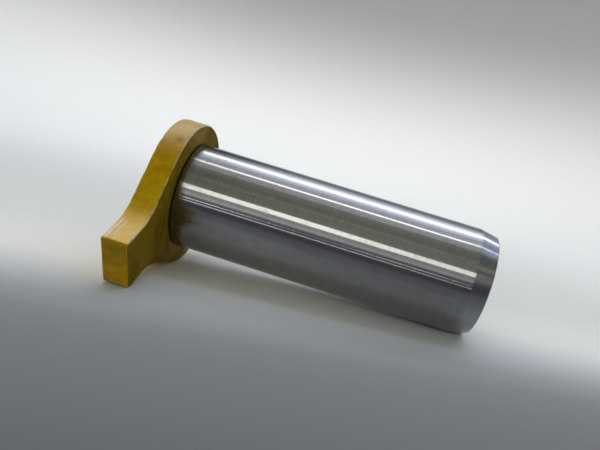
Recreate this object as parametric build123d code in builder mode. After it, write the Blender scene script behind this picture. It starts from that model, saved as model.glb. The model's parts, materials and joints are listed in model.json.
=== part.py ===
from build123d import *
from math import acos, asin, atan, atan2, cos, degrees, hypot, sin
import os

# A flag pin for an excavator's linkage, in millimetres, lying as it comes to rest on a flat floor.
# A ground steel shaft is seated through a flame-cut keeper plate and welded to it on the outer side.
# The plate is a round lobe about the shaft with straight flanks that sweep into a square-ended tab.
# The origin is on the shaft's axis, in the plane of the plate's inner face, with +Z up and +X
# towards the shaft's free end.

# Shaft: lengths run from the plate's inner face
shaft_radius = 45
shaft_length = 257
taper_length = 14.5
taper_depth = 3
end_edge_radius = 1
relief_width = 1.2
relief_depth = 0.5
centre_pilot_radius = 3.15
centre_mouth_radius = 6.6
centre_depth = 15
centre_angle = 60

# Flag plate
plate_thickness = 20
lobe_wall = 16
flank_reach = 17
tab_length = 32
tab_width = 41
shoulder_fillet = 46
tab_corner_radius = 2.5
plate_edge_break = 1
bore_edge_break = 0.4

# Weld between the plate's outer face and the shaft's end
weld_depth = 7
weld_toe = 3
weld_crown = 1.6

# Worked out from the sizes above
lobe_radius = shaft_radius + lobe_wall
shoulder = (lobe_radius + flank_reach, tab_width / 2)
tab_tip = (shoulder[0] + tab_length, tab_width / 2)
taper_start = shaft_length - taper_length

# Lying pose: the plate's lobe, a corner of its tab and the shaft's taper edge touch the floor.
# The shaft dips by the tilt towards its free end, and the tab points down towards -Y by the roll.
tilt = atan(lobe_wall / (taper_start + plate_edge_break))
corner_centre = (tab_tip[0] - tab_corner_radius, tab_tip[1] - tab_corner_radius)
corner_angle = atan2(corner_centre[1], corner_centre[0])
roll = asin((lobe_radius - tab_corner_radius) / hypot(*corner_centre)) - corner_angle
shaft_direction = Vector(cos(tilt), 0, -sin(tilt))
tab_direction = Vector(-sin(tilt) * sin(roll), -cos(roll), -cos(tilt) * sin(roll))

# The seat plane holds the plate's inner face: x along the tab, z along the shaft.
# The section plane cuts the shaft lengthwise: x outward from the axis, y along the shaft.
seat_plane = Plane(origin=(0, 0, 0), x_dir=tab_direction, z_dir=shaft_direction)
section_plane = Plane(origin=(0, 0, 0), x_dir=tab_direction, z_dir=-seat_plane.y_dir)
shaft_axis = Axis((0, 0, 0), shaft_direction)


# Pin shaft: turned, centre-drilled at both ends and ground between the relief and the taper
with BuildPart() as pin_shaft:
    with BuildSketch(section_plane):
        with BuildLine():
            Polyline(
                (0, -plate_thickness),
                (shaft_radius - weld_toe, -plate_thickness),
                (shaft_radius, -plate_thickness + weld_toe),
                (shaft_radius, 0),
                (shaft_radius - relief_depth, 0),
                (shaft_radius - relief_depth, relief_width),
                (shaft_radius, relief_width),
                (shaft_radius, taper_start),
                (shaft_radius - taper_depth, shaft_length),
                (0, shaft_length),
                close=True,
            )
        make_face()
    revolve(axis=shaft_axis)
    flat_faces = pin_shaft.faces().filter_by(GeomType.PLANE).sort_by(shaft_axis)
    welded_end = flat_faces[0]
    free_end = flat_faces[-1]
    fillet(free_end.edges(), end_edge_radius)
    with Locations(welded_end, free_end):
        CounterSinkHole(centre_pilot_radius, centre_mouth_radius, centre_depth, centre_angle)
pin_shaft.part.label = "pin_shaft"


# Flag plate: flame-cut outline, bored for the shaft, bevelled on the outer side for the weld
tangent_angle = atan2(shoulder[1], shoulder[0]) + acos(lobe_radius / hypot(*shoulder))
flank_start = (lobe_radius * cos(tangent_angle), lobe_radius * sin(tangent_angle))

with BuildPart() as flag_plate:
    with BuildSketch(seat_plane):
        with BuildLine():
            CenterArc((0, 0), lobe_radius, degrees(tangent_angle), 180 - degrees(tangent_angle))
            FilletPolyline(
                flank_start,
                shoulder,
                tab_tip,
                (tab_tip[0], 0),
                radius=(shoulder_fillet, tab_corner_radius),
            )
            mirror(about=Plane.XZ)
        make_face()
        Circle(shaft_radius, mode=Mode.SUBTRACT)
    extrude(amount=-plate_thickness)
    faces_along_shaft = flag_plate.faces().filter_by(GeomType.PLANE).sort_by(shaft_axis)
    outer_face = faces_along_shaft[0]
    inner_face = faces_along_shaft[-1]
    chamfer(outer_face.outer_wire().edges() + inner_face.outer_wire().edges(), plate_edge_break)
    chamfer(inner_face.inner_wires()[0].edges(), bore_edge_break)
    chamfer(outer_face.inner_wires()[0].edges(), weld_depth)
flag_plate.part.label = "flag_plate"


# Weld bead: fills the groove between the plate's bevel and the shaft's chamfer, with a low crown
bead_inner = (shaft_radius - weld_toe, -plate_thickness)
bead_outer = (shaft_radius + weld_depth, -plate_thickness)
bead_top = ((bead_inner[0] + bead_outer[0]) / 2, -plate_thickness - weld_crown)

with BuildPart() as weld_bead:
    with BuildSketch(section_plane):
        with BuildLine():
            Polyline(
                bead_inner,
                (shaft_radius, -plate_thickness + weld_toe),
                (shaft_radius, -plate_thickness + weld_depth),
                bead_outer,
            )
            ThreePointArc(bead_outer, bead_top, bead_inner)
        make_face()
    revolve(axis=shaft_axis)
weld_bead.part.label = "weld_bead"


os.makedirs("parts", exist_ok=True)
export_step(pin_shaft.part, "parts/pin_shaft.step")
export_step(flag_plate.part, "parts/flag_plate.step")
export_step(weld_bead.part, "parts/weld_bead.step")
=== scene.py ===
"""Looks of the excavator pin: a ground steel shaft in a thick flame-cut flag plate painted ochre.

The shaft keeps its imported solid. The plate's place is taken by a finer mesh with softened, chipped
edges and the weld's by one with ripples, and every surface gets a node material. All lengths are
metres in the part's frame, where the pin lies on a flat floor with its shaft along +X.
"""

import json
import math
import random

import bpy
from mathutils import Euler, Matrix, Vector, noise


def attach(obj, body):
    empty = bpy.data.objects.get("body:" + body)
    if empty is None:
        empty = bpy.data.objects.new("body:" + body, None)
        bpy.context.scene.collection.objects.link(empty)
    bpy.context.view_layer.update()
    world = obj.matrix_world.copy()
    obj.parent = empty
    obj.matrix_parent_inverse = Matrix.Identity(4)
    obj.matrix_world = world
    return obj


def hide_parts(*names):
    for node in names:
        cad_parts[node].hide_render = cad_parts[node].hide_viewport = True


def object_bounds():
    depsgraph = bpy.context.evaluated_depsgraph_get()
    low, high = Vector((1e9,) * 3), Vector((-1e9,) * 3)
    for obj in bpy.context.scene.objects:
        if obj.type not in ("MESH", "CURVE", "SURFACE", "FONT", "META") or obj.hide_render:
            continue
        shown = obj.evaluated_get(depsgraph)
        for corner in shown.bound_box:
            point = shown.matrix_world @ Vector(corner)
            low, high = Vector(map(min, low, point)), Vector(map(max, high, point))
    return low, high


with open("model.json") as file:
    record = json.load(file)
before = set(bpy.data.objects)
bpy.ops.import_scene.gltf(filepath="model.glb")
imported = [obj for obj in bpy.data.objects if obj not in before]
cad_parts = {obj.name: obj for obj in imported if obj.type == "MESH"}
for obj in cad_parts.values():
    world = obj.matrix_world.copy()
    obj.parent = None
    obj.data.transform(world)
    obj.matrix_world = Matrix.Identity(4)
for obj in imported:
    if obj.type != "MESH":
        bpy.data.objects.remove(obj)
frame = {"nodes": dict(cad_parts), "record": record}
cad_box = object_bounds()

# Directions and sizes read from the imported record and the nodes
mounts = {m["name"]: m for m in frame["record"]["mounts"]}
SHAFT_RADIUS = mounts["shaft"]["dims"]["r_mm"] / 1000
along_shaft = Vector(mounts["shaft"]["axis"]).normalized()
along_tab = Vector(mounts["flag_face"]["pos_m"]).normalized()
across_tab = along_shaft.cross(along_tab)
FLOOR_Z = cad_box[0].z

# Lengths along the shaft from the plate's inner face
PLATE_THICKNESS = 0.020
RELIEF_WIDTH = 0.0012
TAPER_START = 0.2425

# The plate's outline, with x along the tab and y across it, and its softened edges
LOBE_RADIUS = 0.061
SHOULDER = Vector((0.078, 0.0205))
SHOULDER_FILLET = 0.046
TAB_END = 0.110
TAB_CORNER = 0.0025
EDGE_ROUND = 0.0013
BORE_BREAK = 0.0004

# The weld's groove, crown and ripples on the plate's outer side
WELD_DEPTH = 0.007
WELD_TOE = 0.003
WELD_CROWN = 0.0016
WELD_RIPPLE = 0.0034

# Chips knocked off the plate's edges: their reach, and their depth as a share of it
CHIP_COUNT = 26
CHIP_SEED = 7
CHIP_REACH = (0.0008, 0.0019)
CHIP_DEPTH = (0.15, 0.3)

# How much the edges of the tab's end are rubbed, where the other edges have 1
TAB_END_RUBBED = 0.55

# Steps of the plate's mesh: round its outline, then through its section from the bore outwards
END_STEPS = 20
CORNER_STEPS = 8
SIDE_STEPS = 18
HOLLOW_STEPS = 32
FLANK_STEPS = 42
LOBE_STEPS = 150
FACE_STEPS = [0.0, 0.04, 0.12, 0.22, 0.32, 0.42, 0.52, 0.61, 0.70, 0.78, 0.85, 0.91, 0.95, 0.98]
ROUND_STEPS = 6
RIM_STEPS = 18

# Steps of the weld's mesh, round it and across it
WELD_TURN_STEPS = 1200
WELD_WIDTH_STEPS = 18

# Camera fitted to the photograph: place, turn in degrees, lens and the shift of its framing
CAMERA_AT = (0.16208, -0.46017, 0.08716)
CAMERA_TURN = (75.258, -12.31, 7.805)
CAMERA_LENS_MM = 33.17
CAMERA_SENSOR_MM = 36
CAMERA_SHIFT = (-0.0408, 0.0649)


def on_shaft(along, turn, radius=SHAFT_RADIUS):
    """A point by its distance along the shaft and its angle in degrees from the tab's direction."""
    a = math.radians(turn)
    return along_shaft * along + (along_tab * math.cos(a) + across_tab * math.sin(a)) * radius


# Soft marks, each a place and its reach: smudges on the shaft, on the plate's rim and on the tab's
# end, and a lighter and a darker patch of the inner face's painted shade and soil
SHAFT_SMUDGES = [
    (on_shaft(0.118, -105), 0.004),
    (on_shaft(0.184, -96), 0.005),
    (on_shaft(0.012, -48), 0.006),
]
RIM_SMUDGE = (on_shaft(-0.006, -74, LOBE_RADIUS), 0.0045)
END_SMUDGE = (along_tab * TAB_END - across_tab * 0.013 - along_shaft * 0.009, 0.007)
LIGHTER_INNER_PATCH = (along_tab * 0.041 - across_tab * 0.042, 0.009)
DARKER_INNER_PATCH = (along_tab * 0.014 + across_tab * 0.048, 0.013)


def make_camera():
    data = bpy.data.cameras.new("camera")
    data.lens = CAMERA_LENS_MM
    data.sensor_width = CAMERA_SENSOR_MM
    data.shift_x, data.shift_y = CAMERA_SHIFT
    data.clip_start = 0.01
    camera = bpy.data.objects.new("camera", data)
    camera.location = CAMERA_AT
    camera.rotation_euler = Euler([math.radians(a) for a in CAMERA_TURN])
    bpy.context.scene.collection.objects.link(camera)
    bpy.context.scene.camera = camera


# Short calls that build node trees. A value is a number, a colour or another node's output.

def put(tree, socket, value):
    if isinstance(value, bpy.types.NodeSocket):
        tree.links.new(value, socket)
    else:
        socket.default_value = value


def calc(tree, operation, *values, clamp=False):
    made = tree.nodes.new("ShaderNodeMath")
    made.operation = operation
    made.use_clamp = clamp
    for socket, value in zip(made.inputs, values):
        put(tree, socket, value)
    return made.outputs[0]


def times(tree, product, *factors):
    for factor in factors:
        product = calc(tree, "MULTIPLY", product, factor)
    return product


def plus(tree, total, *terms):
    for term in terms:
        total = calc(tree, "ADD", total, term)
    return total


def minus(tree, a, b):
    return calc(tree, "SUBTRACT", a, b)


def dot(tree, vector, direction):
    made = tree.nodes.new("ShaderNodeVectorMath")
    made.operation = "DOT_PRODUCT"
    tree.links.new(vector, made.inputs[0])
    made.inputs[1].default_value = direction
    return made.outputs["Value"]


def combine(tree, x, y, z):
    made = tree.nodes.new("ShaderNodeCombineXYZ")
    for socket, value in zip(made.inputs, (x, y, z)):
        put(tree, socket, value)
    return made.outputs[0]


def separate(tree, vector):
    made = tree.nodes.new("ShaderNodeSeparateXYZ")
    tree.links.new(vector, made.inputs[0])
    return made.outputs


def noise_at(tree, vector, scale, detail=2.0, roughness=0.5, distortion=0.0):
    made = tree.nodes.new("ShaderNodeTexNoise")
    tree.links.new(vector, made.inputs["Vector"])
    made.inputs["Scale"].default_value = scale
    made.inputs["Detail"].default_value = detail
    made.inputs["Roughness"].default_value = roughness
    made.inputs["Distortion"].default_value = distortion
    return made.outputs[0]


def remap(tree, value, low, high, to_low=0.0, to_high=1.0, smooth=True):
    made = tree.nodes.new("ShaderNodeMapRange")
    made.interpolation_type = "SMOOTHSTEP" if smooth else "LINEAR"
    tree.links.new(value, made.inputs["Value"])
    for name, number in (("From Min", low), ("From Max", high), ("To Min", to_low), ("To Max", to_high)):
        made.inputs[name].default_value = number
    return made.outputs[0]


def blend(tree, factor, a, b, mode="MIX"):
    made = tree.nodes.new("ShaderNodeMix")
    made.data_type = "RGBA"
    made.blend_type = mode
    put(tree, made.inputs[0], factor)
    for socket, colour in ((made.inputs[6], a), (made.inputs[7], b)):
        put(tree, socket, (*colour, 1) if isinstance(colour, tuple) else colour)
    return made.outputs[2]


def lay(tree, below, colour, *covers):
    """The colour below with another laid over it, as far as the product of its covers says."""
    return blend(tree, times(tree, *covers), below, colour)


def ramp(tree, value, stops):
    made = tree.nodes.new("ShaderNodeValToRGB")
    tree.links.new(value, made.inputs[0])
    elements = made.color_ramp.elements
    elements[0].position, elements[0].color = stops[0][0], (*stops[0][1], 1)
    elements[1].position, elements[1].color = stops[-1][0], (*stops[-1][1], 1)
    for place, colour in stops[1:-1]:
        elements.new(place).color = (*colour, 1)
    return made.outputs[0]


def bump(tree, height, normal=None):
    made = tree.nodes.new("ShaderNodeBump")
    made.inputs["Strength"].default_value = 1.0
    made.inputs["Distance"].default_value = 1.0
    tree.links.new(height, made.inputs["Height"])
    if normal is not None:
        tree.links.new(normal, made.inputs["Normal"])
    return made.outputs[0]


def new_material(name):
    material = bpy.data.materials.new(name)
    material.use_nodes = True
    tree = material.node_tree
    return material, tree, tree.nodes["Principled BSDF"]


# Studio: a seamless round floor that sweeps up to a low wall, lamps along the shaft and a dome

FLOOR_RADIUS = 0.75
FLOOR_TURN_STEPS = 96
SWEEP_RADIUS = 1.4
SWEEP_TURN = 66
SWEEP_STEPS = 24
LAMP_DIP = math.radians(2.7)

# The floor's shades run from FLOOR_SHADED_TO in front to as far behind, turned by FLOOR_SLANT, and
# fade into one as the sweep rises
FLOOR_SHADED_TO = 0.5
FLOOR_SLANT = 0.20
FLOOR_SHADES = [
    (0.04, (0.125, 0.133, 0.144)),
    (0.13, (0.135, 0.142, 0.150)),
    (0.20, (0.170, 0.176, 0.183)),
    (0.26, (0.225, 0.230, 0.235)),
    (0.31, (0.260, 0.265, 0.270)),
    (0.345, (0.300, 0.306, 0.312)),
    (0.375, (0.41, 0.42, 0.43)),
    (0.405, (0.60, 0.618, 0.628)),
    (0.435, (0.80, 0.81, 0.795)),
    (0.465, (0.92, 0.92, 0.86)),
    (0.50, (0.92, 0.92, 0.865)),
    (0.57, (0.86, 0.86, 0.82)),
    (0.90, (0.82, 0.82, 0.81)),
]
SWEEP_SHADE = (0.46, 0.46, 0.465)
SWEEP_SHADE_AT = 0.55

# The dome's levels by the angle about the shaft: 0 level in front, 0.5 overhead, 1 behind. The
# polished shaft mirrors them, and they are fitted so that its lines lie as in the photograph.
DOME_STRENGTH = 4.0
DOME_BANDS = [
    (0.12, (0.085, 0.085, 0.077)),
    (0.20, (0.084, 0.085, 0.072)),
    (0.292, (0.077, 0.078, 0.066)),
    (0.300, (0.115, 0.115, 0.098)),
    (0.308, (0.075, 0.077, 0.064)),
    (0.350, (0.064, 0.066, 0.055)),
    (0.408, (0.082, 0.084, 0.079)),
    (0.430, (0.090, 0.092, 0.088)),
    (0.442, (0.160, 0.162, 0.162)),
    (0.490, (0.170, 0.172, 0.176)),
    (0.508, (0.160, 0.164, 0.172)),
    (0.513, (0.90, 0.90, 0.90)),
    (0.527, (0.90, 0.90, 0.90)),
    (0.532, (0.180, 0.188, 0.205)),
    (0.580, (0.190, 0.200, 0.235)),
    (0.620, (0.300, 0.320, 0.400)),
    (0.652, (0.410, 0.445, 0.520)),
    (0.672, (0.860, 0.890, 0.920)),
    (0.696, (0.860, 0.890, 0.920)),
    (0.722, (0.480, 0.510, 0.580)),
    (0.760, (0.290, 0.310, 0.370)),
    (0.800, (0.140, 0.147, 0.178)),
    (0.845, (0.074, 0.077, 0.088)),
    (0.960, (0.070, 0.072, 0.078)),
]

# Towards the right the lamps run aslant and look thinner, which shows in the shaft's taper
TAPER_TURN = 0.036
DOME_AT_TAPER = [
    (0.016, (0.040, 0.043, 0.042)),
    (0.055, (0.047, 0.050, 0.047)),
    (0.082, (0.115, 0.123, 0.115)),
    (0.128, (0.100, 0.110, 0.104)),
    (0.158, (0.051, 0.052, 0.046)),
    (0.190, (0.055, 0.056, 0.050)),
    (0.212, (0.084, 0.092, 0.086)),
    (0.250, (0.084, 0.092, 0.086)),
    (0.275, (0.050, 0.054, 0.050)),
    (0.385, (0.049, 0.054, 0.052)),
    (0.410, (0.061, 0.069, 0.075)),
    (0.446, (0.123, 0.150, 0.168)),
    (0.484, (0.157, 0.180, 0.230)),
    (0.509, (0.170, 0.190, 0.245)),
    (0.514, (0.620, 0.640, 0.780)),
    (0.528, (0.620, 0.640, 0.780)),
    (0.533, (0.125, 0.138, 0.205)),
    (0.593, (0.130, 0.150, 0.205)),
    (0.629, (0.165, 0.190, 0.250)),
    (0.668, (0.225, 0.270, 0.330)),
    (0.686, (0.780, 0.820, 0.900)),
    (0.706, (0.780, 0.820, 0.900)),
    (0.730, (0.230, 0.250, 0.320)),
    (0.766, (0.128, 0.136, 0.176)),
    (0.900, (0.120, 0.124, 0.140)),
]

# Beside the bands the dome is darker towards the seat and plain beyond the shaft's two ends
DOME_BEHIND_SEAT = (0.26, 0.26, 0.26)
DOME_AT_SEAT = (0.66, 0.66, 0.56)
DOME_PAST_FREE_END = (0.05, 0.05, 0.046)
DOME_PAST_PLATE = (0.17, 0.17, 0.17)


def make_floor():
    profile = [(0.0, 0.0), (FLOOR_RADIUS, 0.0)]
    for i in range(1, SWEEP_STEPS + 1):
        a = math.radians(SWEEP_TURN) * i / SWEEP_STEPS
        profile.append((FLOOR_RADIUS + SWEEP_RADIUS * math.sin(a), SWEEP_RADIUS * (1 - math.cos(a))))
    turns = FLOOR_TURN_STEPS
    verts = [(0.0, 0.0, FLOOR_Z)]
    for r, z in profile[1:]:
        for k in range(turns):
            a = 2 * math.pi * k / turns
            verts.append((r * math.cos(a), r * math.sin(a), FLOOR_Z + z))
    faces = [(0, 1 + k, 1 + (k + 1) % turns) for k in range(turns)]
    for ring in range(len(profile) - 2):
        base, up = 1 + ring * turns, 1 + (ring + 1) * turns
        for k in range(turns):
            n = (k + 1) % turns
            faces.append((base + k, up + k, up + n, base + n))
    mesh = bpy.data.meshes.new("floor")
    mesh.from_pydata(verts, [], faces)
    mesh.shade_smooth()
    mesh.materials.append(floor_paper())
    floor = bpy.data.objects.new("floor", mesh)
    bpy.context.scene.collection.objects.link(floor)


def floor_paper():
    material, tree, shader = new_material("graduated_paper")
    x, y, z = separate(tree, tree.nodes.new("ShaderNodeTexCoord").outputs["Object"])
    back = minus(tree, y, times(tree, x, FLOOR_SLANT))
    shade = ramp(tree, remap(tree, back, -FLOOR_SHADED_TO, FLOOR_SHADED_TO, smooth=False), FLOOR_SHADES)
    shade = blend(tree, remap(tree, z, 0.0, SWEEP_SHADE_AT), shade, SWEEP_SHADE)
    tree.links.new(shade, shader.inputs["Base Color"])
    shader.inputs["Roughness"].default_value = 1.0
    shader.inputs["Specular IOR Level"].default_value = 0.0
    return material


def place_lamp(name, location, facing, side, width, length, radiance, colour, spread=180, shares=()):
    """A flat lamp: facing is where it shines, side the way its length runs.

    Its shares of the radiance are stops along its length and, if there is a second row, its width.
    """
    data = bpy.data.lights.new(name, "AREA")
    data.shape = "RECTANGLE"
    data.size = length
    data.size_y = width
    data.energy = radiance * math.pi * width * length
    data.color = colour
    data.spread = math.radians(spread)
    if shares:
        data.use_nodes = True
        tree = data.node_tree
        ways = separate(tree, tree.nodes.new("ShaderNodeNewGeometry").outputs["Parametric"])
        share = 1.0
        for way, stops in zip(ways, shares):
            graded = ramp(tree, way, [(place, (part, part, part)) for place, part in stops])
            share = times(tree, graded, share)
        tree.links.new(share, tree.nodes["Emission"].inputs["Strength"])
    lamp = bpy.data.objects.new(name, data)
    back = -facing.normalized()
    lamp.location = location
    lamp.rotation_euler = Matrix((side, back.cross(side), back)).transposed().to_euler()
    lamp.visible_camera = False
    bpy.context.scene.collection.objects.link(lamp)


def strip_lamp(name, angle, distance, start, end, width, radiance, colour, shares):
    """A lamp on a circle about the shaft: angle 0 is level in front, 90 overhead and 180 behind."""
    a = math.radians(angle)
    out = Vector((0, -math.cos(a), math.sin(a)))
    side = Vector((math.cos(LAMP_DIP), 0, -math.sin(LAMP_DIP)))
    location = out * distance + side * (start + end) / 2
    place_lamp(name, location, -out, side, width, end - start, radiance, colour, shares=shares)


def make_world():
    """The room's dome, in bands by the angle about the shaft."""
    world = bpy.data.worlds.new("world")
    bpy.context.scene.world = world
    world.use_nodes = True
    tree = world.node_tree
    right, back, up = separate(tree, tree.nodes.new("ShaderNodeTexCoord").outputs["Generated"])
    turn = calc(tree, "DIVIDE", calc(tree, "ARCTAN2", up, times(tree, back, -1.0)), math.pi)
    level = blend(tree, remap(tree, right, 0.25, 0.38), ramp(tree, turn, DOME_BANDS),
                  ramp(tree, minus(tree, turn, TAPER_TURN), DOME_AT_TAPER))
    behind_seat = times(tree, remap(tree, turn, 0.69, 0.75), remap(tree, right, -0.29, -0.07, 1.0, 0.0))
    level = blend(tree, behind_seat, level, DOME_BEHIND_SEAT, "MULTIPLY")
    level = blend(tree, remap(tree, right, -0.34, -0.17, 1.0, 0.0), level, DOME_AT_SEAT, "MULTIPLY")
    level = blend(tree, remap(tree, right, 0.66, 0.84), level, DOME_PAST_FREE_END)
    level = blend(tree, remap(tree, right, -0.80, -0.60, 1.0, 0.0), level, DOME_PAST_PLATE)
    background = tree.nodes["Background"]
    tree.links.new(level, background.inputs["Color"])
    background.inputs["Strength"].default_value = DOME_STRENGTH


def make_lamps():
    strip_lamp("front_strip", angle=27.6, distance=1.7, start=-1.0, end=1.0, width=0.27,
               radiance=2.04, colour=(1.0, 0.99, 0.94),
               shares=[[(0.28, 0.88), (0.40, 1.0), (0.50, 1.0), (0.62, 0.88), (0.78, 0.69)]])
    strip_lamp("low_strip", angle=15.8, distance=1.3, start=-0.8, end=0.75, width=0.26,
               radiance=0.47, colour=(1.0, 0.98, 0.82),
               shares=[[(0.45, 1.0), (0.85, 0.60)],
                       [(0.0, 0.30), (0.12, 0.80), (0.21, 0.94), (0.32, 1.0), (0.42, 0.94),
                        (0.55, 0.62), (0.66, 0.50), (0.76, 0.34), (0.86, 0.52), (1.0, 0.80)]])
    strip_lamp("thin_strip", angle=-1.0, distance=0.7, start=-0.40, end=0.55, width=0.018,
               radiance=1.50, colour=(0.99, 1.0, 0.97), shares=[[(0.20, 1.0), (0.80, 0.45)]])
    strip_lamp("faint_strip", angle=4.4, distance=0.7, start=-0.40, end=0.55, width=0.012,
               radiance=2.9, colour=(1.0, 0.99, 0.96),
               shares=[[(0.20, 1.0), (0.275, 0.62), (0.34, 0.40), (0.40, 0.08), (0.52, 0.08),
                        (0.58, 0.22), (0.64, 0.78), (0.70, 0.62), (0.77, 0.14)]])
    place_lamp("backdrop", location=Vector((-0.1, 0.15, 1.3)), facing=Vector((0, 0.75, -0.66)),
               side=Vector((1, 0, 0)), width=0.3, length=2.4, radiance=2.9, colour=(1.0, 1.0, 1.0),
               spread=96)


def part_axes(tree):
    """A point's distances along the shaft, along the tab and across it, and from the shaft's axis."""
    place = tree.nodes.new("ShaderNodeTexCoord").outputs["Object"]
    along = dot(tree, place, along_shaft)
    tab = dot(tree, place, along_tab)
    across = dot(tree, place, across_tab)
    radius = calc(tree, "SQRT", plus(tree, times(tree, tab, tab), times(tree, across, across)))
    return place, along, tab, across, radius


def spot(tree, place, mark, ragged):
    """1 at a mark's place on the part's surface and 0 beyond its reach, with an uneven border."""
    middle, reach = mark
    away = tree.nodes.new("ShaderNodeVectorMath")
    away.operation = "DISTANCE"
    tree.links.new(place, away.inputs[0])
    away.inputs[1].default_value = middle
    edge = plus(tree, away.outputs["Value"], times(tree, ragged, reach * 1.2))
    return remap(tree, edge, reach * 0.7, reach * 1.7, 1.0, 0.0)


STEEL_DARK = (0.330, 0.333, 0.329)
STEEL_LIGHT = (0.378, 0.381, 0.376)
OIL_FILM = (0.245, 0.252, 0.268)
FINGER_MARKS = (0.25, 0.245, 0.235)
TURNED_END = (0.47, 0.465, 0.45)
RELIEF_SHADE = (0.03, 0.026, 0.02)


def steel():
    material, tree, shader = new_material("ground_steel")
    place, along, tab, across, radius = part_axes(tree)
    normal = tree.nodes.new("ShaderNodeNewGeometry").outputs["Normal"]
    facing_end = remap(tree, calc(tree, "ABSOLUTE", dot(tree, normal, along_shaft)), 0.6, 0.8)
    on_taper = remap(tree, along, TAPER_START - 0.0001, TAPER_START + 0.0001)
    in_relief = times(tree, remap(tree, along, -0.0011, -0.0009),
                      remap(tree, along, RELIEF_WIDTH - 0.0001, RELIEF_WIDTH + 0.0001, 1.0, 0.0))

    # Grinding lines run round the shaft, so the noise is fine along it and long around it
    run = plus(tree, times(tree, along, minus(tree, 1.0, facing_end)), times(tree, radius, facing_end))
    lines_at = combine(tree, times(tree, run, 14000.0), times(tree, tab, 22.0), times(tree, across, 22.0))
    lines = noise_at(tree, lines_at, 1.0, 3.0, 0.6)
    bands_at = combine(tree, times(tree, run, 420.0), times(tree, tab, 7.0), times(tree, across, 7.0))
    bands = noise_at(tree, bands_at, 1.0, 2.0, 0.5)
    blotches = noise_at(tree, place, 38.0, 4.0, 0.62, 0.4)
    smudges = remap(tree, blotches, 0.58, 0.74)
    for mark in SHAFT_SMUDGES:
        smudges = calc(tree, "MAXIMUM", smudges, spot(tree, place, mark, blotches))
    waves = noise_at(tree, place, 26.0, 1.0, 0.4)
    film = noise_at(tree, place, 170.0, 4.0, 0.62, 0.4)

    roughness = plus(tree, remap(tree, lines, 0.35, 0.75, 0.03, 0.11),
                     remap(tree, bands, 0.35, 0.7, 0.0, 0.02),
                     times(tree, smudges, 0.09),
                     remap(tree, film, 0.50, 0.68, 0.0, 0.045),
                     times(tree, facing_end, remap(tree, bands, 0.3, 0.7, 0.38, 0.54)),
                     times(tree, on_taper, 0.02))
    tree.links.new(roughness, shader.inputs["Roughness"])

    colour = blend(tree, bands, STEEL_DARK, STEEL_LIGHT)
    colour = lay(tree, colour, OIL_FILM, remap(tree, film, 0.47, 0.72, 0.0, 0.42))
    colour = lay(tree, colour, FINGER_MARKS, smudges, 0.42)
    colour = lay(tree, colour, TURNED_END, facing_end, 0.7)
    colour = lay(tree, colour, RELIEF_SHADE, in_relief, 0.9)
    tree.links.new(colour, shader.inputs["Base Color"])
    shader.inputs["Metallic"].default_value = 1

    # Each line tips the surface a little along the shaft, which blurs reflections that way only
    reach = calc(tree, "SUBTRACT", minus(tree, 0.65, times(tree, on_taper, 0.5)), facing_end, clamp=True)
    tip = times(tree, minus(tree, lines, 0.5), reach)
    lean = tree.nodes.new("ShaderNodeVectorMath")
    lean.operation = "MULTIPLY_ADD"
    lean.inputs[0].default_value = along_shaft
    tree.links.new(combine(tree, tip, tip, tip), lean.inputs[1])
    tree.links.new(normal, lean.inputs[2])
    height = plus(tree, times(tree, lines, 1.0e-6), times(tree, waves, 3.0e-5))
    tree.links.new(bump(tree, height, normal=lean.outputs[0]), shader.inputs["Normal"])
    return material


def attribute(tree, name):
    read = tree.nodes.new("ShaderNodeAttribute")
    read.attribute_name = name
    return read.outputs["Fac"]


OCHRE_DEEP = (0.480, 0.252, 0.003)
OCHRE_LIGHT = (0.610, 0.385, 0.006)
OCHRE_PAINTED_LIGHT = (1.0, 0.62, 0.10)
SPECKS = (0.30, 0.170, 0.003)
DIRT = (0.215, 0.136, 0.004)
SOIL_AND_SHADE = (0.140, 0.098, 0.002)
GRIME = (0.120, 0.098, 0.006)
DUST_AND_SHEEN = (0.88, 0.72, 0.44)
UNDERCOAT = (1.0, 0.80, 0.66)
RUBBED_CORNER = (0.30, 0.15, 0.008)
END_STAIN = (0.16, 0.125, 0.006)
RIM_STAIN = (0.21, 0.125, 0.07)
TOE_DIRT_AND_SHADE = (0.15, 0.085, 0.010)
EDGE_SHADE_LINE = (0.10, 0.075, 0.004)
THIN_COAT = (0.76, 0.66, 0.42)
UPPER_EDGE_RUB_AND_HIGHLIGHT = (0.84, 0.80, 0.60)
BARE_METAL = (0.24, 0.135, 0.03)
RIPPLE_VALLEY_TONE = (0.17, 0.10, 0.010)


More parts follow.
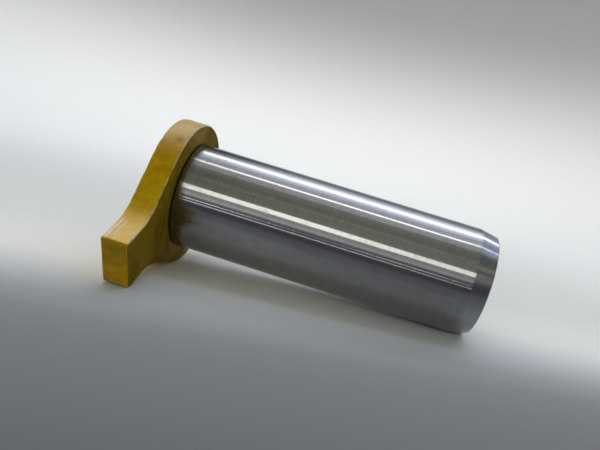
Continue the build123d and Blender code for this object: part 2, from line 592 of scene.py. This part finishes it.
def paint():
    material, tree, shader = new_material("ochre_paint")
    place, along, tab, across, radius = part_axes(tree)
    normal = tree.nodes.new("ShaderNodeNewGeometry").outputs["Normal"]
    upward = separate(tree, normal)[2]
    inner_face = remap(tree, dot(tree, normal, along_shaft), 0.75, 0.97)
    end_face = remap(tree, dot(tree, normal, along_tab), 0.8, 0.97)
    worn = attribute(tree, "worn")

    mottle = noise_at(tree, place, 48.0, 6.0, 0.62, 0.3)
    fine = noise_at(tree, place, 420.0, 4.0, 0.65)
    peel = noise_at(tree, place, 1300.0, 2.0, 0.5)
    cloud = noise_at(tree, place, 26.0, 7.0, 0.68, 0.8)
    dirt = remap(tree, cloud, 0.47, 0.70)
    runs_at = combine(tree, times(tree, tab, 160.0), times(tree, across, 160.0), times(tree, along, 1400.0))
    runs = noise_at(tree, runs_at, 1.0, 3.0, 0.6)

    # Ochre coat, browner where it is thick. Painted shade, with some soil, darkens the whole inner face
    # and the tab's end towards its top, with a darker and a lighter patch on the inner face
    colour = blend(tree, remap(tree, mottle, 0.36, 0.64), OCHRE_DEEP, OCHRE_LIGHT)
    colour = lay(tree, colour, SPECKS, remap(tree, fine, 0.5, 0.72), 0.30)
    colour = lay(tree, colour, DIRT, dirt, 0.48)
    inner_soil_and_shade = plus(tree, remap(tree, tab, -0.055, 0.0, 0.30, 0.0),
                   remap(tree, tab, 0.025, 0.060, 0.66, 0.77))
    end_shade_to_top = times(tree, end_face, remap(tree, across, -0.010, 0.013, 0.30, 0.0))
    soil_and_shade = plus(tree, times(tree, inner_face, inner_soil_and_shade), end_shade_to_top)
    soil_and_shade = calc(tree, "MULTIPLY", soil_and_shade, remap(tree, cloud, 0.30, 0.62, 0.75, 1.15), clamp=True)
    darker_patch = times(tree, inner_face, spot(tree, place, DARKER_INNER_PATCH, cloud))
    soil_and_shade = calc(tree, "MAXIMUM", soil_and_shade, darker_patch)
    lighter_patch = spot(tree, place, LIGHTER_INNER_PATCH, cloud)
    soil_and_shade = times(tree, soil_and_shade, minus(tree, 1.0, times(tree, lighter_patch, 0.6)))
    colour = lay(tree, colour, SOIL_AND_SHADE, soil_and_shade)

    # Darker grime in specks on the same two faces
    grimy = remap(tree, noise_at(tree, place, 150.0, 5.0, 0.65, 0.6), 0.50, 0.66)
    grime = times(tree, grimy, plus(tree, times(tree, end_face, 0.34), times(tree, inner_face, 0.22)))
    colour = lay(tree, colour, GRIME, grime)

    # Fine dust and a painted sheen make what faces up paler, less in the middle of the flank
    dust_and_sheen = times(tree, remap(tree, upward, 0.53, 0.97), remap(tree, mottle, 0.25, 0.7, 0.36, 0.62))
    less_mid_flank = calc(tree, "MAXIMUM", remap(tree, tab, 0.038, 0.052, 1.0, 0.35),
                 remap(tree, tab, 0.072, 0.092, 0.35, 1.0))
    colour = lay(tree, colour, DUST_AND_SHEEN, dust_and_sheen, less_mid_flank)

    # Painted light: the coat is lighter where it faces up in the upper hollow and along the tab beside it
    painted_light_up_hollow = times(tree, remap(tree, upward, 0.61, 0.80), remap(tree, tab, 0.050, 0.064))
    colour = lay(tree, colour, OCHRE_PAINTED_LIGHT, painted_light_up_hollow, 0.42)

    # Rubbed streaks on the tab's upper side, through the coat to a pinkish undercoat
    streaks_at = combine(tree, times(tree, tab, 60.0), times(tree, across, 60.0), times(tree, along, 700.0))
    streaks = remap(tree, noise_at(tree, streaks_at, 1.0, 3.0, 0.6), 0.46, 0.60)
    upper = remap(tree, across, -0.0199, -0.0191, 1.0, 0.0)
    near_end = times(tree, remap(tree, tab, 0.080, 0.088), remap(tree, tab, 0.106, 0.110, 1.0, 0.4))
    outer_half = times(tree, remap(tree, along, -0.0198, -0.0185),
                       remap(tree, along, -0.015, -0.009, 1.0, 0.0))
    rubbed = times(tree, times(tree, streaks, upper), times(tree, near_end, outer_half))
    colour = lay(tree, colour, UNDERCOAT, rubbed, 0.85)

    # A brown, ragged line where the coat is rubbed off the tab's upper corner
    from_corner = calc(tree, "MAXIMUM", minus(tree, TAB_END, tab), plus(tree, across, SHOULDER.y))
    from_corner = plus(tree, from_corner, times(tree, minus(tree, fine, 0.5), 0.003))
    colour = lay(tree, colour, RUBBED_CORNER, remap(tree, from_corner, 0.0009, 0.0018, 1.0, 0.0), 0.55)

    colour = lay(tree, colour, END_STAIN, spot(tree, place, END_SMUDGE, cloud), 0.45)
    colour = lay(tree, colour, RIM_STAIN, spot(tree, place, RIM_SMUDGE, cloud), 0.55)

    # Dark lines along the weld's two toes: dirt and painted shade in their creases
    from_inner_toe = calc(tree, "ABSOLUTE", minus(tree, radius, SHAFT_RADIUS - WELD_TOE))
    from_outer_toe = calc(tree, "ABSOLUTE", minus(tree, radius, SHAFT_RADIUS + WELD_DEPTH))
    from_toe = calc(tree, "MINIMUM", from_inner_toe, from_outer_toe)
    colour = lay(tree, colour, TOE_DIRT_AND_SHADE, remap(tree, from_toe, 0.0003, 0.0014, 0.62, 0.0),
                 remap(tree, along, -0.0199, -0.0195, 1.0, 0.0))
    # Painted shade: a dark line just inside the inner face's upper edge
    shade_inside_edge = times(tree, inner_face, remap(tree, worn, 0.06, 0.16))
    colour = lay(tree, colour, EDGE_SHADE_LINE, shade_inside_edge, remap(tree, across, -0.03, 0.0, 0.62, 0.0))

    # Worn edges: first thin, paler paint, then bare dull metal in the chips
    bare = remap(tree, worn, 0.74, 0.86)
    colour = lay(tree, colour, THIN_COAT, remap(tree, worn, 0.25, 0.65), 0.42)
    # The inner side's upward edges are paler: rubbed paint and a painted highlight
    colour = lay(tree, colour, UPPER_EDGE_RUB_AND_HIGHLIGHT, attribute(tree, "edge_rub_and_highlight"), 0.60)
    colour = lay(tree, colour, BARE_METAL, bare, 0.70)
    # Darker, browner paint in the weld ripples' valleys
    colour = lay(tree, colour, RIPPLE_VALLEY_TONE, attribute(tree, "valley"), 0.55)
    tree.links.new(colour, shader.inputs["Base Color"])

    roughness = plus(tree, remap(tree, mottle, 0.3, 0.7, 0.30, 0.42), times(tree, dirt, 0.14),
                     times(tree, soil_and_shade, 0.30), times(tree, bare, 0.10))
    tree.links.new(roughness, shader.inputs["Roughness"])
    sheen = minus(tree, 0.24, times(tree, soil_and_shade, 0.20))
    tree.links.new(sheen, shader.inputs["Specular IOR Level"])
    shader.inputs["Specular Tint"].default_value = (1.0, 0.75, 0.14, 1)

    height = plus(tree, times(tree, mottle, 1.6e-4), times(tree, fine, 2.4e-5), times(tree, peel, 6.0e-6),
                  times(tree, runs, 4.0e-6), times(tree, rubbed, -3.0e-5))
    tree.links.new(bump(tree, height), shader.inputs["Normal"])
    return material


def to_part(x, y, z):
    return along_tab * x + across_tab * y + along_shaft * z


def arc_points(centre, radius, start, end, count, inward=False):
    points = []
    for i in range(count):
        a = start + (end - start) * i / count
        way = Vector((math.cos(a), math.sin(a)))
        points.append((centre + way * radius, -way if inward else way))
    return points


def line_points(start, end, normal, count):
    return [(start.lerp(end, i / count), normal) for i in range(count)]


def plate_outline():
    """The outline's points and outward normals, all the way round from the middle of the tab's end."""
    half_width = SHOULDER.y
    straight_end = half_width - TAB_CORNER
    corner = TAB_END - TAB_CORNER
    tangent = math.atan2(SHOULDER.y, SHOULDER.x) + math.acos(LOBE_RADIUS / SHOULDER.length)
    flank_normal = Vector((math.cos(tangent), math.sin(tangent)))
    flank_start = flank_normal * LOBE_RADIUS
    to_flank = (flank_start - SHOULDER).normalized()
    to_tab = Vector((1, 0))
    half_angle = to_flank.angle(to_tab) / 2
    setback = SHOULDER_FILLET / math.tan(half_angle)
    hollow = SHOULDER + (to_flank + to_tab).normalized() * SHOULDER_FILLET / math.sin(half_angle)
    flank_end = SHOULDER + to_flank * setback
    away = flank_end - hollow
    up = Vector((0, 1))
    half = line_points(Vector((TAB_END, 0)), Vector((TAB_END, straight_end)), to_tab, END_STEPS)
    half += arc_points(Vector((corner, straight_end)), TAB_CORNER, 0, math.pi / 2, CORNER_STEPS)
    half += line_points(Vector((corner, half_width)), SHOULDER + to_tab * setback, up, SIDE_STEPS)
    half += arc_points(hollow, SHOULDER_FILLET, -math.pi / 2, math.atan2(away.y, away.x), HOLLOW_STEPS,
                       inward=True)
    half += line_points(flank_end, flank_start, flank_normal, FLANK_STEPS)
    half += arc_points(Vector((0, 0)), LOBE_RADIUS, tangent, math.pi, LOBE_STEPS)
    last = [(Vector((-LOBE_RADIUS, 0)), Vector((-1, 0)))]
    mirrored = [(Vector((p.x, -p.y)), Vector((n.x, -n.y))) for p, n in reversed(half[1:])]
    return half + last + mirrored


def make_piece(name, verts, faces, material, replaced, marks):
    mesh = bpy.data.meshes.new(name)
    mesh.from_pydata(verts, [], faces)
    mesh.shade_smooth()
    mesh.materials.append(material)
    for mark, values in marks.items():
        mesh.attributes.new(mark, "FLOAT", "POINT").data.foreach_set("value", values)
    piece = bpy.data.objects.new(name, mesh)
    bpy.context.scene.collection.objects.link(piece)
    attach(piece, "root")
    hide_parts(replaced)


def ring_faces(around, section):
    """Quads of a closed grid: rings of points round the part, each ring a closed section."""
    faces = []
    for k in range(around):
        here, there = k * section, (k + 1) % around * section
        for i in range(section):
            j = (i + 1) % section
            faces.append((here + i, here + j, there + j, there + i))
    return faces


def chip_sites(outline):
    """Chips along the plate's edges, each a place, its reach and its depth."""
    chance = random.Random(CHIP_SEED)
    sites = []
    for _ in range(CHIP_COUNT):
        point = outline[chance.randrange(len(outline))][0]
        z = chance.choice((-0.0003, -PLATE_THICKNESS + 0.0003))
        reach = chance.uniform(*CHIP_REACH)
        sites.append((Vector((point.x, point.y, z)), reach, reach * chance.uniform(*CHIP_DEPTH)))
    return sites


def plate_section(point, normal):
    """The plate's section at a point of its outline, all the way round from the bore's inner edge.

    Each entry is a flat place, its height along the shaft and its nearness to an edge, from 0 to 1.
    """
    inset = point - normal * EDGE_ROUND
    bore = point.normalized()
    inner_mouth = bore * (SHAFT_RADIUS + BORE_BREAK)
    outer_mouth = bore * (SHAFT_RADIUS + WELD_DEPTH)
    rounding = []
    for i in range(ROUND_STEPS + 1):
        a = i / ROUND_STEPS * math.pi / 2
        rounding.append((inset + normal * EDGE_ROUND * math.sin(a), EDGE_ROUND * (1 - math.cos(a)),
                         0.55 + 0.45 * math.sin(2 * a)))
    section = [(inner_mouth * (1 - t) + inset * t, 0.0, t ** 6 * 0.3) for t in FACE_STEPS]
    section += [(flat, -drop, edge) for flat, drop, edge in rounding]
    for i in range(1, RIM_STEPS):
        z = -EDGE_ROUND - (PLATE_THICKNESS - 2 * EDGE_ROUND) * i / RIM_STEPS
        section.append((point, z, 0.3 * abs(2 * i / RIM_STEPS - 1) ** 6))
    section += [(flat, -PLATE_THICKNESS + drop, edge) for flat, drop, edge in reversed(rounding)]
    section += [(outer_mouth * (1 - t) + inset * t, -PLATE_THICKNESS, t ** 6 * 0.3)
                for t in reversed(FACE_STEPS)]
    section.append((bore * SHAFT_RADIUS, -PLATE_THICKNESS + WELD_DEPTH, 0.0))
    section.append((bore * SHAFT_RADIUS, -BORE_BREAK, 0.0))
    return section


def edge_damage(at, z, edge, ragged, rubbed, chips):
    """How deep the edge is cut in at a place, and how worn its paint is, from 0 to 1."""
    cut = edge * max(0.0, ragged) * 0.00045
    wear = rubbed * edge * min(1.0, max(0.0, 0.42 + 0.75 * ragged))
    for site, reach, depth in chips:
        near = 1 - (at - site).length / reach
        if near > 0:
            near *= 1 + 0.35 * noise.noise(at * 900)
            cut = max(cut, depth * min(1.0, near * 2.2) * (0.35 + 0.65 * edge))
            wear = max(wear, min(1.0, near * 1.8))
    if 0 < edge or -PLATE_THICKNESS < z < -EDGE_ROUND / 2:
        cut += 0.00005 * (1 + noise.noise(at * 75))
    on_face = z > -EDGE_ROUND / 2 or z < -PLATE_THICKNESS + EDGE_ROUND / 2
    if edge == 0.0 and on_face:
        cut = 0.0
    return cut, wear


def make_plate(material):
    """The flame-cut plate with its edges softened, a little uneven, and chipped here and there."""
    outline = plate_outline()
    chips = chip_sites(outline)
    verts, worn, edge_rub_and_highlight = [], [], []
    for point, normal in outline:
        upward = min(1.0, max(0.0, (to_part(normal.x, normal.y, 0).z - 0.56) / 0.2))
        rubbed = TAB_END_RUBBED if normal.x > 0.9 else 1.0
        section = plate_section(point, normal)
        for flat, z, edge in section:
            at = Vector((flat.x, flat.y, z))
            ragged = noise.noise(at * 170) * 0.6 + noise.noise(at * 520) * 0.4
            cut, wear = edge_damage(at, z, edge, ragged, rubbed, chips)
            inward = Vector((-normal.x, -normal.y, 0.6 if z < -PLATE_THICKNESS / 2 else -0.6))
            verts.append(to_part(*(at + inward * cut)))
            worn.append(wear)
            # Paler upward edges of the inner side: rubbed paint and a painted highlight
            shown = min(1.0, 0.6 + 0.8 * ragged) if z > -EDGE_ROUND else 0.0
            edge_rub_and_highlight.append(upward * max(0.0, edge - 0.55) / 0.45 * shown)
    make_piece("flag_plate_cut", verts, ring_faces(len(outline), len(section)), material, "flag_plate",
               {"worn": worn, "edge_rub_and_highlight": edge_rub_and_highlight})


def make_weld(material):
    """The weld bead: crescent ripples round the groove, a little uneven in width and height."""
    inner, outer = SHAFT_RADIUS - WELD_TOE, SHAFT_RADIUS + WELD_DEPTH
    ripples = round(2 * math.pi * SHAFT_RADIUS / WELD_RIPPLE)
    verts, valley = [], []
    for k in range(WELD_TURN_STEPS):
        a = 2 * math.pi * k / WELD_TURN_STEPS
        way = Vector((math.cos(a), math.sin(a), 0))
        drift = noise.noise(way * 3.1) * 0.9 + noise.noise(way * 9.0) * 0.35
        wide = 0.00035 * noise.noise(way * 7.0 + Vector((0, 0, 5)))
        full = 1 + 0.16 * noise.noise(way * 5.0 + Vector((0, 0, 9)))
        for i in range(WELD_WIDTH_STEPS + 1):
            t = i / WELD_WIDTH_STEPS
            r = inner + (outer + wide - inner) * t
            crown = 4 * t * (1 - t)
            turn = a * ripples / (2 * math.pi) + drift + 0.85 * (2 * t - 1) ** 2
            step = turn - math.floor(turn)
            ripple = (1 - step) ** 0.7 if step > 0.12 else step / 0.12
            rise = WELD_CROWN * (0.64 * full * crown ** 0.6 + 0.34 * ripple * crown ** 0.5)
            verts.append(to_part(way.x * r, way.y * r, -PLATE_THICKNESS - rise))
            valley.append(max(0.0, 1 - 2.2 * ripple) * crown ** 0.3)
        for depth in (WELD_DEPTH, WELD_TOE):
            verts.append(to_part(way.x * SHAFT_RADIUS, way.y * SHAFT_RADIUS, -PLATE_THICKNESS + depth))
            valley.append(0.0)
    make_piece("weld_bead_rippled", verts, ring_faces(WELD_TURN_STEPS, WELD_WIDTH_STEPS + 3), material,
               "weld_bead", {"valley": valley})


def dress(node, material):
    slots = frame["nodes"][node].data.materials
    slots.clear()
    slots.append(material)


make_camera()
make_floor()
make_world()
make_lamps()

steel_material = steel()
paint_material = paint()
dress("pin_shaft", steel_material)
dress("flag_plate", paint_material)
dress("weld_bead", paint_material)
make_plate(paint_material)
make_weld(paint_material)

scene = bpy.context.scene
scene.view_settings.view_transform = "Standard"
